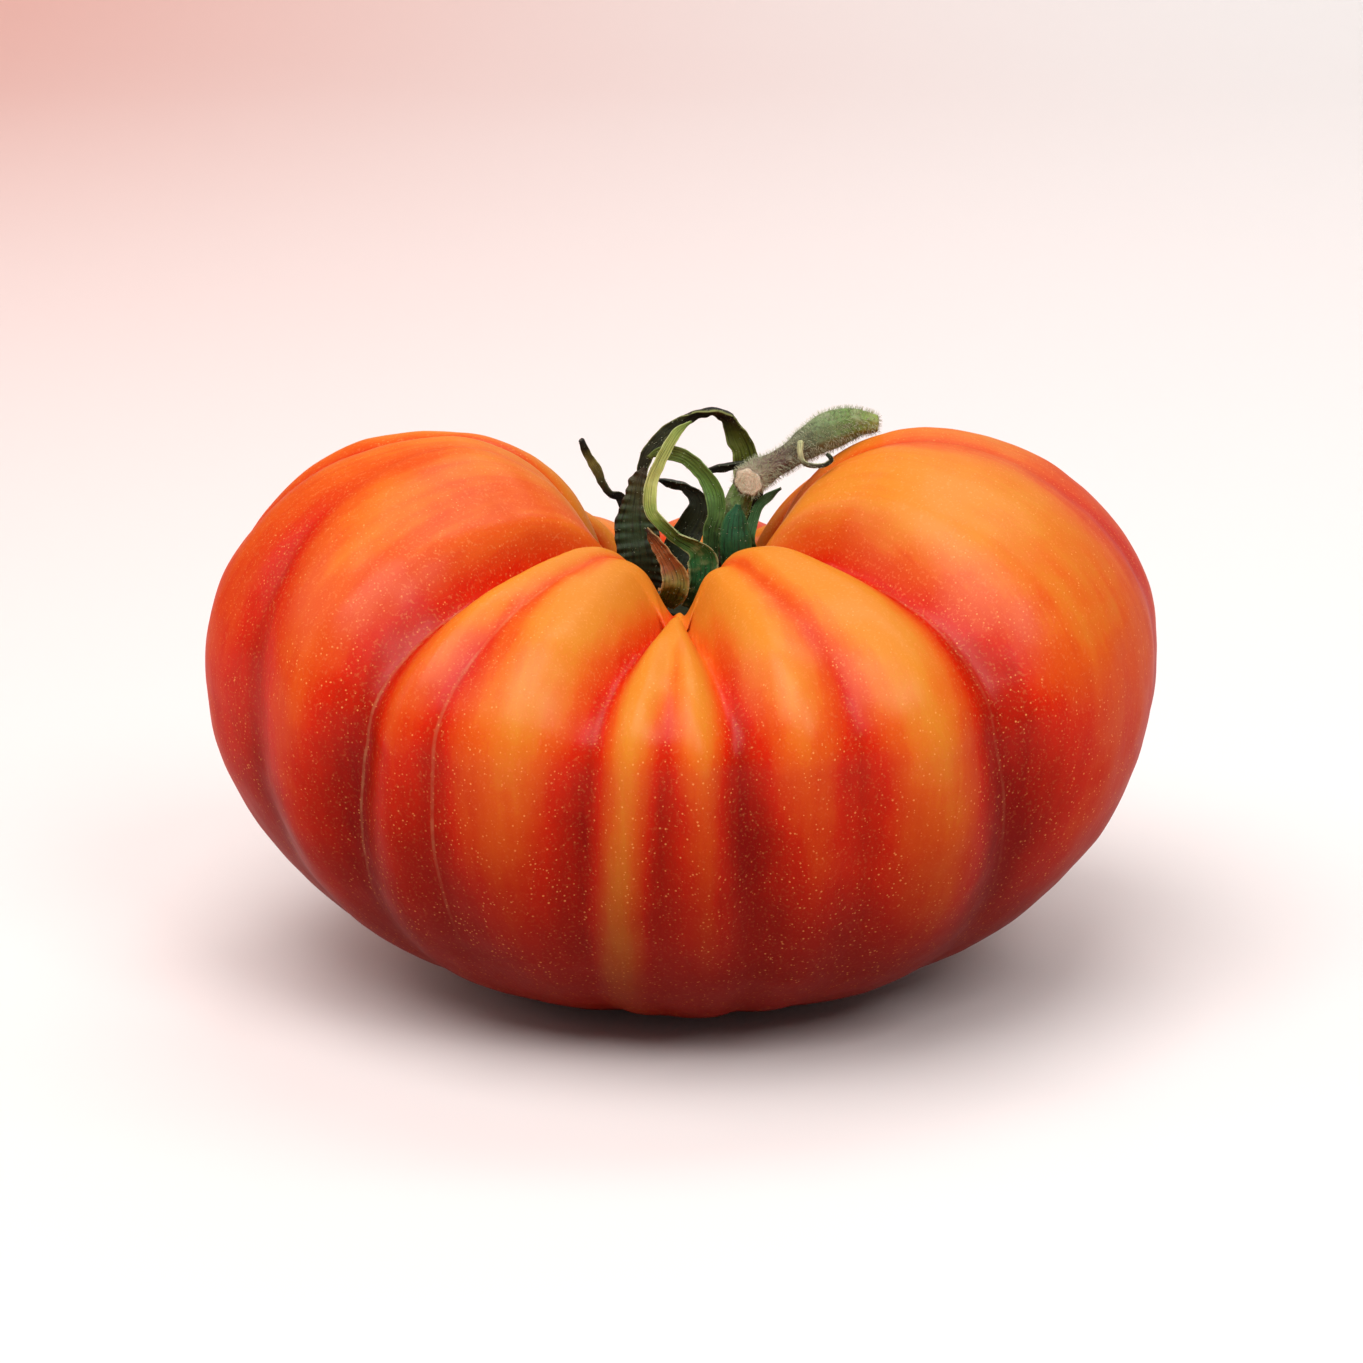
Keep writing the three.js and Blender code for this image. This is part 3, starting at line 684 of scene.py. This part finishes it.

# Each sepal's stations are (x, y, height over the foot, half width, twist) in millimetres and
# degrees; its shades run from foot to tip. The dark shade at each foot is partly the leaf's own
# deep green and partly painted shade, deep down in the stem's cavity.
SEPALS = {
    # Rises at the back right, arches over the left lobe and comes down black and shrivelled.
    "sepal_arch": {
        "stations": [
            (1.6, 5, 0.8, 0.9), (5.6, 5.6, 4.9, 1.3), (8.2, 5.3, 11.2, 1.7), (8.1, 5, 17, 1.75, 10),
            (6.9, 4.5, 20.3, 1.5, 25), (5.7, 3.5, 22.6, 1.15, 40), (3.7, 2.6, 23.6, 0.95, 55),
            (1.6, 2.2, 23.2, 0.85, 40), (-0.7, 1.9, 22.1, 0.9, 10), (-3, 1.7, 20.1, 0.85, -15),
            (-4.6, 1.6, 17.5, 0.8, -30), (-5.1, 1.6, 14.5, 0.7, -20), (-5.2, 1.8, 12.4, 0.5, 0),
        ],
        "edge": (150, 156, 88),
        "shades": [
            (0, DEEP_LEAF_AND_SHADE), (0.25, OLIVE), (0.50, OLIVE), (0.57, SOOT), (0.68, SOOT),
            (0.76, DARK_OLIVE), (1, SOOT),
        ],
        "cup": 0.5, "crumple": 0.55, "ruffle": 0.12, "ruffles": 19,
    },
    # The pale strand in front, broad and cupped at its foot, with its tip against the arch.
    "sepal_front": {
        "stations": [
            (0.8, -4.9, 0.4, 1.0), (2.3, -6.8, 3.8, 1.6), (2.5, -7.5, 7.4, 1.85), (1.5, -7.9, 9.1, 1.3, 15),
            (-0.6, -8, 10.3, 0.95, 30), (-2.3, -8, 11.9, 0.85, 15), (-3.8, -7.5, 13.5, 0.8),
            (-4, -6.5, 15.9, 0.8, -10), (-3.3, -5.3, 18.2, 0.75, -20), (-0.9, -2.7, 22, 0.65, 0),
            (1, -0.8, 23.1, 0.4),
        ],
        "edge": PALE,
        "shades": [
            (0, DEEP_LEAF_AND_SHADE), (0.22, (40, 118, 66)), (0.40, LEAF), (0.52, SPRING), (0.68, STRAW),
            (1, SPRING),
        ],
        "cup": 0.55, "crumple": 0.4, "ruffle": 0.06, "ruffles": 15,
    },
    # Loops over inside the arch.
    "sepal_inner": {
        "stations": [
            (3.0, -3.8, 0.4, 0.9), (3.5, -4.7, 4.5, 1.0), (3.6, -5.0, 10, 1.05), (4.2, -5, 12.4, 1.2),
            (4.1, -4.4, 14.7, 1.25, 15), (3.2, -3.6, 16.6, 1.2, 25), (1.7, -2.7, 18.2, 1.15, 25),
            (-0.3, -2.3, 19.4, 1, 10), (-2.9, -2.2, 19.6, 0.9), (-4.2, -2.2, 18.9, 0.6),
        ],
        "edge": (120, 142, 80),
        "shades": [(0, DEEP_LEAF_AND_SHADE), (0.4, (52, 84, 36)), (0.6, LEAF), (0.82, (96, 126, 52)), (1, OLIVE)],
        "cup": 0.5, "crumple": 0.4, "ruffle": 0.05, "ruffles": 17,
    },
    # Broad and still fresh, in front of the stem.
    "sepal_face": {
        "stations": [
            (5, -2, 0.4, 0.9), (6.6, -5.2, 3.6, 1.5), (6.6, -7.0, 8.2, 1.95), (6.5, -6.8, 11.2, 1.75),
            (6.9, -6.2, 14, 0.8),
        ],
        "edge": (70, 116, 62),
        "shades": [(0, DEEP_LEAF_AND_SHADE), (0.5, (30, 82, 44)), (1, TEAL)],
        "cup": -0.45, "crumple": 0.35, "ruffle": 0.05, "ruffles": 7,
    },
    # The narrow ribbon along the right lobe's inner wall.
    "sepal_right": {
        "stations": [
            (6, 1.6, 0.8, 0.7), (8.9, -0.6, 3.6, 0.8), (8.9, -3.4, 6.6, 0.75), (8.3, -4.8, 9.1, 0.7, 10),
            (8.8, -4.4, 11.4, 0.7, 20), (9.6, -3.9, 13.3, 0.65, 20), (11, -3.6, 14.5, 0.55),
            (12.2, -3.8, 15.4, 0.4),
        ],
        "edge": (96, 136, 84),
        "shades": [(0, DEEP_LEAF_AND_SHADE), (0.5, (56, 102, 56)), (0.85, (60, 100, 50)), (1, DARK_OLIVE)],
        "cup": 0.3, "crumple": 0.35, "ruffle": 0.04, "ruffles": 13,
    },
    # Comes round the stem and crosses to the left, dried to a thread.
    "sepal_cross": {
        "stations": [
            (3.9, 3.2, 0.4, 0.7), (5.6, 2.6, 4, 0.6), (8.8, 2.2, 10, 0.6), (9.6, 1.9, 14.5, 0.6),
            (8.4, 1.8, 16.8, 0.6, 20), (5.4, 1.3, 16.8, 0.62, 35), (2.5, 0.8, 16.3, 0.4),
        ],
        "edge": (52, 58, 42),
        "shades": [(0, DEEP_LEAF_AND_SHADE), (0.5, DARK_OLIVE), (0.75, (50, 56, 40)), (1, SOOT)],
        "cup": 0.6, "crumple": 0.5, "ruffle": 0.05, "ruffles": 15,
    },
    # The dark strand behind the arch.
    "sepal_rear": {
        "stations": [
            (-1.6, 4.8, 0.4, 1.2), (-0.3, 6.4, 4.9, 2.1), (2.1, 7.5, 10, 1.4), (0.6, 7.5, 12.4, 0.75, 20),
            (-1.3, 7, 13.1, 0.7, 35), (-3.2, 6.4, 13.8, 0.4),
        ],
        "edge": (60, 66, 50),
        "shades": [(0, DEEP_LEAF_AND_SHADE), (0.5, DARK_OLIVE), (0.8, (56, 62, 54)), (1, SOOT)],
        "cup": 0.6, "crumple": 0.5, "ruffle": 0.05, "ruffles": 11,
    },
    # Stands out to the left, with a swollen, dried tip.
    "sepal_spike": {
        "stations": [
            (-4.4, 3, 0.4, 0.8), (-6.6, 3.6, 5.4, 0.75), (-7, 3.3, 10, 0.7), (-7.8, 3.1, 12.4, 0.65),
            (-9, 3, 12.9, 0.5, 20), (-10, 3, 14.3, 0.55, 30), (-10.6, 3, 15.9, 0.68, 20),
            (-11.8, 2.5, 18, 0.6, 10), (-12.6, 2, 20.1, 0.9),
        ],
        "edge": (84, 86, 50),
        "shades": [
            (0, DEEP_LEAF_AND_SHADE), (0.62, SOOT), (0.74, (70, 72, 36)), (0.84, (150, 148, 78)),
            (0.92, (92, 92, 44)), (0.96, SOOT),
        ],
        "cup": 0.5, "crumple": 0.45, "ruffle": 0.04, "ruffles": 17,
    },
    # Broad and wrinkled, along the left lobe's inner wall.
    "sepal_left": {
        "stations": [
            (-4.6, -1.2, 0.4, 1.1), (-5, -2.8, 3, 2.3), (-5.2, -3.6, 6.6, 3.0), (-5.6, -3, 9.1, 2.9),
            (-5.7, -2.3, 12.1, 2.1, 10), (-5.4, -1.5, 15.2, 1.4, 20), (-4.7, -0.9, 17.3, 0.7, 20),
        ],
        "edge": (58, 34, 28),
        "shades": [(0, SOOT), (0.3, (40, 52, 28)), (0.6, (46, 66, 36)), (0.85, (66, 66, 34)), (1, UMBER)],
        "cup": 0.4, "crumple": 0.6, "ruffle": 0.28, "ruffles": 16,
    },
    # Lies in the front notch and curls up to the left, dried brown but for its foot.
    "sepal_dried": {
        "stations": [
            (-2.6, -4.4, 0.8, 0.9), (-1.6, -8.8, 2.6, 1.4), (-0.9, -11.2, 4.7, 1.7), (-0.9, -11.2, 6.3, 1.5),
            (-1.8, -10.6, 8.2, 1.2, 15), (-3.2, -10, 10.3, 0.9, 25), (-4.4, -9.5, 11.9, 0.5, 25),
        ],
        "edge": (176, 150, 96),
        "shades": [
            (0, DEEP_LEAF_AND_SHADE), (0.42, (76, 108, 44)), (0.54, (120, 116, 52)), (0.64, RUST),
            (0.85, (150, 86, 40)), (1, UMBER),
        ],
        "cup": 0.5, "crumple": 0.5, "ruffle": 0.1, "ruffles": 11,
    },
}

for name, sepal in SEPALS.items():
    sizes = {
        "Sides": 24,
        "Steps": 110,
        "Skin": leaf_material(name + "_leaf", sepal["shades"], sepal["edge"]),
        "Down": down,
        "Thickness": 0.62 * MM,
        "Cup": sepal["cup"],
        "Crumple": sepal["crumple"],
        "Ruffle": sepal["ruffle"] * MM,
        "Ruffles": float(sepal["ruffles"]),
        "Ribs": 0.45,
        "Taper": 0.55,
        "Hairs": 0.9e6,
        "Hair Length": 0.24 * MM,
    }
    leaf = grown("leaf_" + name, strand, sizes, route_curve(name, sepal["stations"], sepal_foot))
    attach(leaf, "root")
    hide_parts(name)

# ==== The stem ====
# The woody stalk on the fruit's own disc, cut through by the picker's knife. It stands up out
# of the cavity and joins the cut limb: a pale cut face in front, purple-grey bark, and a downy
# swollen knuckle that runs out over the right lobe to a blunt green end.

PEDICEL = [
    (1.3, 0.3, -0.9, 2.3), (2.6, -0.2, 1.9, 2.1), (4.9, -1.3, 6, 1.9), (6.1, -2, 9.6, 1.7),
    (6.5, -2.2, 12.2, 1.5), (7.6, -2.2, 15, 1.45), (9.6, -2, 16.8, 1.3),
]
LIMB = [
    (8.1, -4.8, 16.5, 1.95), (8.9, -3.1, 16.8, 1.85), (10.6, -1.2, 17.2, 1.65), (13.3, 1, 18.2, 1.5),
    (15.8, 2.2, 19.7, 1.95), (18.5, 3, 21.1, 2.3), (21.6, 3.6, 21.9, 1.75), (24.4, 4, 21.7, 1.1),
]
BARK_SHADES = [
    (0, (148, 132, 112)), (0.30, (92, 70, 62)), (0.48, (96, 96, 74)),
    (0.66, (122, 142, 96)), (0.85, (108, 140, 66)), (1.0, (150, 172, 84)),
]


def bark_material():
    """Dry bark: green and downy at the knuckle, purple-grey behind the cut, cream in the cut."""
    material, tree, shader = new_material("woody_bark")
    reach, radial = kept(tree, "reach"), kept(tree, "radial")
    blotches, grain = noise(tree, 620.0, 3.0), noise(tree, 2400.0, 2.0)
    band = banded(tree, reach + (blotches - 0.5) * 0.16, BARK_SHADES)
    dark = tint(tree, 0.7, band, colour(40, 30, 30))
    shade = tint(tree, ramp(grain, 0.45, 0.7) * 0.6, band, dark)
    shade = tint(tree, ramp(blotches, 0.5, 0.75) * 0.5, shade, colour(168, 166, 140))
    cut = 1.0 - ramp(radial, 0.84, 0.97)
    cut = cut * (1.0 - ramp(reach, 0.002, 0.01))
    rings = (radial * 20.0 + blotches * 14.0 + grain * 3.0).work("SINE") * 0.5 + 0.5
    streaks = rings * 0.2 + ramp(grain, 0.5, 0.8) * 0.35
    wood = tint(tree, streaks, colour(255, 246, 224), colour(176, 128, 84))
    feed(tree, shader["Base Color"], tint(tree, cut, shade, wood))
    feed(tree, shader["Roughness"], 0.72 + (grain - 0.5) * 0.25)
    shader["Specular IOR Level"].default_value = 0.3
    relief = grain * 0.8 + blotches * 0.8 + rings * cut * 0.5
    values = {"Strength": 0.7, "Distance": 0.15 * MM, "Height": relief}
    feed(tree, shader["Normal"], place(tree, "ShaderNodeBump", values))
    return material


def disc_group():
    """The disc on the cavity's floor: ten low lobes round its rim, one under each sepal."""
    inputs = {"Skin": "Material", "Radius": FLOATS, "Height": FLOATS, "Floor": FLOATS}
    tree, given = new_group("Disc", inputs, {"Geometry": "Geometry"})
    values = {"Vertices": 80, "Side Segments": 8, "Fill Segments": 10, "Radius": 1.0, "Depth": 1.0}
    puck = place(tree, "GeometryNodeMeshCylinder", values, fill_type="TRIANGLE_FAN")
    spot = place(tree, "ShaderNodeSeparateXYZ", {"Vector": place(tree, "GeometryNodeInputPosition")})
    x, y, up = spot, spot.also("Y"), spot.also("Z") + 0.5
    lobes = 1.0 - 0.05 * ((y.work("ARCTAN2", x) * 10.0).work("COSINE") + 1.0)
    spread = given["Radius"] * lobes * (0.6 + 0.4 * ramp(up, 0.0, 0.6, "LINEAR"))
    values = {"X": x * spread, "Y": y * spread, "Z": given["Floor"] + given["Height"] * up}
    position = place(tree, "ShaderNodeCombineXYZ", values)
    puck = store(tree, puck, "reach", 0.75)
    puck = store(tree, puck, "radial", 1.0)
    disc = place(tree, "GeometryNodeSetPosition", {"Geometry": puck, "Position": position})
    disc = place(tree, "GeometryNodeSetShadeSmooth", {"Geometry": disc, "Shade Smooth": True})
    disc = place(tree, "GeometryNodeRealizeInstances", {"Geometry": disc})
    disc = place(tree, "GeometryNodeSetMaterial", {"Geometry": disc, "Material": given["Skin"]})
    finish_group(tree, Geometry=disc)
    return tree


def joined(name, parts):
    """Parts that grew together, as one object."""
    with bpy.context.temp_override(active_object=parts[0], selected_editable_objects=parts):
        bpy.ops.object.join()
    parts[0].name = name
    return parts[0]


bark = bark_material()
twig_sizes = {
    "Sides": 40, "Skin": bark, "Down": down, "Thickness": 0.0, "Cup": 0.0, "Crumple": 0.35,
    "Ruffle": 0.0, "Ruffles": 0.0, "Ribs": 0.5, "Taper": 0.0,
}
limb_sizes = twig_sizes | {"Steps": 120, "Hairs": 1.5e7, "Hair Length": 0.65 * MM}
pedicel_sizes = twig_sizes | {"Steps": 100, "Hairs": 3.0e6, "Hair Length": 0.3 * MM}
# The disc's dark green is partly its own colour and partly painted shade on the floor of the cavity.
shaded_disc_green = leaf_material("shaded_disc_green", [(0, (38, 50, 26)), (1, (30, 44, 22))], (70, 84, 40))
disc_sizes = {"Skin": shaded_disc_green, "Radius": 5.6 * MM, "Height": 1.9 * MM, "Floor": stem_low.z}
stalk = joined("cut_stem", [
    grown("stem_limb", strand, limb_sizes, route_curve("limb", LIMB, sepal_foot)),
    grown("stem_pedicel", strand, pedicel_sizes, route_curve("pedicel", PEDICEL, sepal_foot)),
    grown("stem_disc", disc_group(), disc_sizes),
])
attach(stalk, "root")
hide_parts("stem")

# ==== The tendril ====
# A thin thread that grew from the limb, now dry, pale at its root and dark at its end. It hangs in
# front of the limb and curls up at its end, free of the lobe below.

TENDRIL = [
    (14.7, -0.6, 20.4, 0.4), (14.6, -3.6, 19.7, 0.34), (15, -5.4, 19.1, 0.3), (16.1, -6.1, 18.9, 0.3),
    (17.5, -6.4, 19.1, 0.28), (18.3, -6.5, 19.8, 0.3), (17.7, -6.3, 20.5, 0.34),
]
TENDRIL_SHADES = [(0, PALE), (0.35, (186, 176, 128)), (0.55, (88, 78, 54)), (0.8, SOOT), (1, DEEP_LEAF_AND_SHADE)]
tendril_sizes = twig_sizes | {
    "Sides": 14, "Steps": 90, "Skin": leaf_material("tendril_thread", TENDRIL_SHADES, PALE),
    "Crumple": 0.2, "Ribs": 0.6, "Taper": 0.3, "Hairs": 8.0e6, "Hair Length": 0.22 * MM,
}
thread = grown("curled_tendril", strand, tendril_sizes, route_curve("tendril", TENDRIL, sepal_foot))
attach(thread, "root")
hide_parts("tendril")

# ==== Floor, light and camera ====
# A pale paper sweep under the fruit and up behind it. Soft lights hang above it in front, to its
# right and to its left, a fourth one lights the wall, and the camera looks down at about
# eighteen degrees.


def paper_material():
    """Pale paper, blush on the left and nearly white on the right."""
    material, tree, shader = new_material("pale_paper")
    spot = place(tree, "ShaderNodeTexCoord", output="Object")
    spot = place(tree, "ShaderNodeSeparateXYZ", {"Vector": spot})
    across = spot + (noise(tree, 3.0) - 0.5) * 0.05
    back = ramp(spot.also("Y"), 0.0, 1.1) * 0.8 + 0.2
    blush = (1.0 - ramp(across, -0.45, 0.25)) * back
    shade = tint(tree, blush, colour(243, 241, 240), colour(232, 150, 130))
    feed(tree, shader["Base Color"], shade)
    shader["Roughness"].default_value = 0.8
    return material


FLOOR_SPAN = 3.0
WALL_HEIGHT = 1.5
SWEEP_RADIUS = 0.5
SWEEP_STEPS = 16
BACK_EDGE = 1.2


def sweep_mesh():
    """A floor that bends up into a wall behind the fruit."""
    turns = [step / SWEEP_STEPS * math.pi / 2 for step in range(SWEEP_STEPS + 1)]
    bend_start = BACK_EDGE - SWEEP_RADIUS
    outline = [(-FLOOR_SPAN / 2, 0.0)]
    outline += [
        (bend_start + SWEEP_RADIUS * math.sin(turn), SWEEP_RADIUS * (1 - math.cos(turn)))
        for turn in turns
    ]
    outline.append((BACK_EDGE, WALL_HEIGHT))
    points = [(side * FLOOR_SPAN / 2, y, z) for y, z in outline for side in (-1, 1)]
    faces = [(2 * i, 2 * i + 1, 2 * i + 3, 2 * i + 2) for i in range(len(outline) - 1)]
    mesh = bpy.data.meshes.new("paper_sweep")
    mesh.from_pydata(points, [], faces)
    mesh.polygons.foreach_set("use_smooth", [True] * len(faces))
    return mesh


sweep = bpy.data.objects.new("paper_sweep", sweep_mesh())
bpy.context.scene.collection.objects.link(sweep)
sweep.data.materials.append(paper_material())


def soft_light(name, place_at, aim, size, power, shade):
    """A square softbox at a place, turned to an aim."""
    light = bpy.data.lights.new(name, "AREA")
    light.size = size
    light.energy = power
    light.color = shade
    lamp = bpy.data.objects.new(name, light)
    bpy.context.scene.collection.objects.link(lamp)
    lamp.location = place_at
    lamp.rotation_euler = (aim - Vector(place_at)).to_track_quat("-Z", "Y").to_euler()


WARM_WHITE, BLUSH = (1.0, 0.98, 0.97), (1.0, 0.84, 0.80)
fruit_middle = Vector((0, 0, shoulder_height / 2))
soft_light("softbox", (-0.20, -0.42, 1.00), fruit_middle, 0.85, 10.2, WARM_WHITE)
soft_light("right_softbox", (0.40, -0.60, 0.75), fruit_middle, 0.40, 3.0, WARM_WHITE)
soft_light("left_softbox", (-0.80, 0.05, 0.60), fruit_middle, 0.60, 1.6, BLUSH)
wall_middle = Vector((0.1, BACK_EDGE, 0.45))
soft_light("wall_softbox", (0.25, 0.45, 1.20), wall_middle, 0.80, 6.8, WARM_WHITE)

world = bpy.data.worlds.new("studio")
world.use_nodes = True
sky = world.node_tree.nodes["Background"].inputs
sky["Color"].default_value = (1.0, 0.96, 0.94, 1.0)
sky["Strength"].default_value = 0.14
bpy.context.scene.world = world
bpy.context.scene.view_settings.view_transform = "Standard"

CAMERA_DISTANCE = 0.4807
CAMERA_RISE = 18.1 / DEGREES
CAMERA_LENS = 100  # millimetres of focal length

lens = bpy.data.cameras.new("camera")
lens.lens = CAMERA_LENS
camera = bpy.data.objects.new("camera", lens)
bpy.context.scene.collection.objects.link(camera)
camera_aim = Vector((-0.1 * MM, 0, shoulder_height * 0.5416))
backward = Vector((0, -math.cos(CAMERA_RISE), math.sin(CAMERA_RISE)))
camera.location = camera_aim + backward * CAMERA_DISTANCE
camera.rotation_euler = backward.to_track_quat("Z", "Y").to_euler()
bpy.context.scene.camera = camera
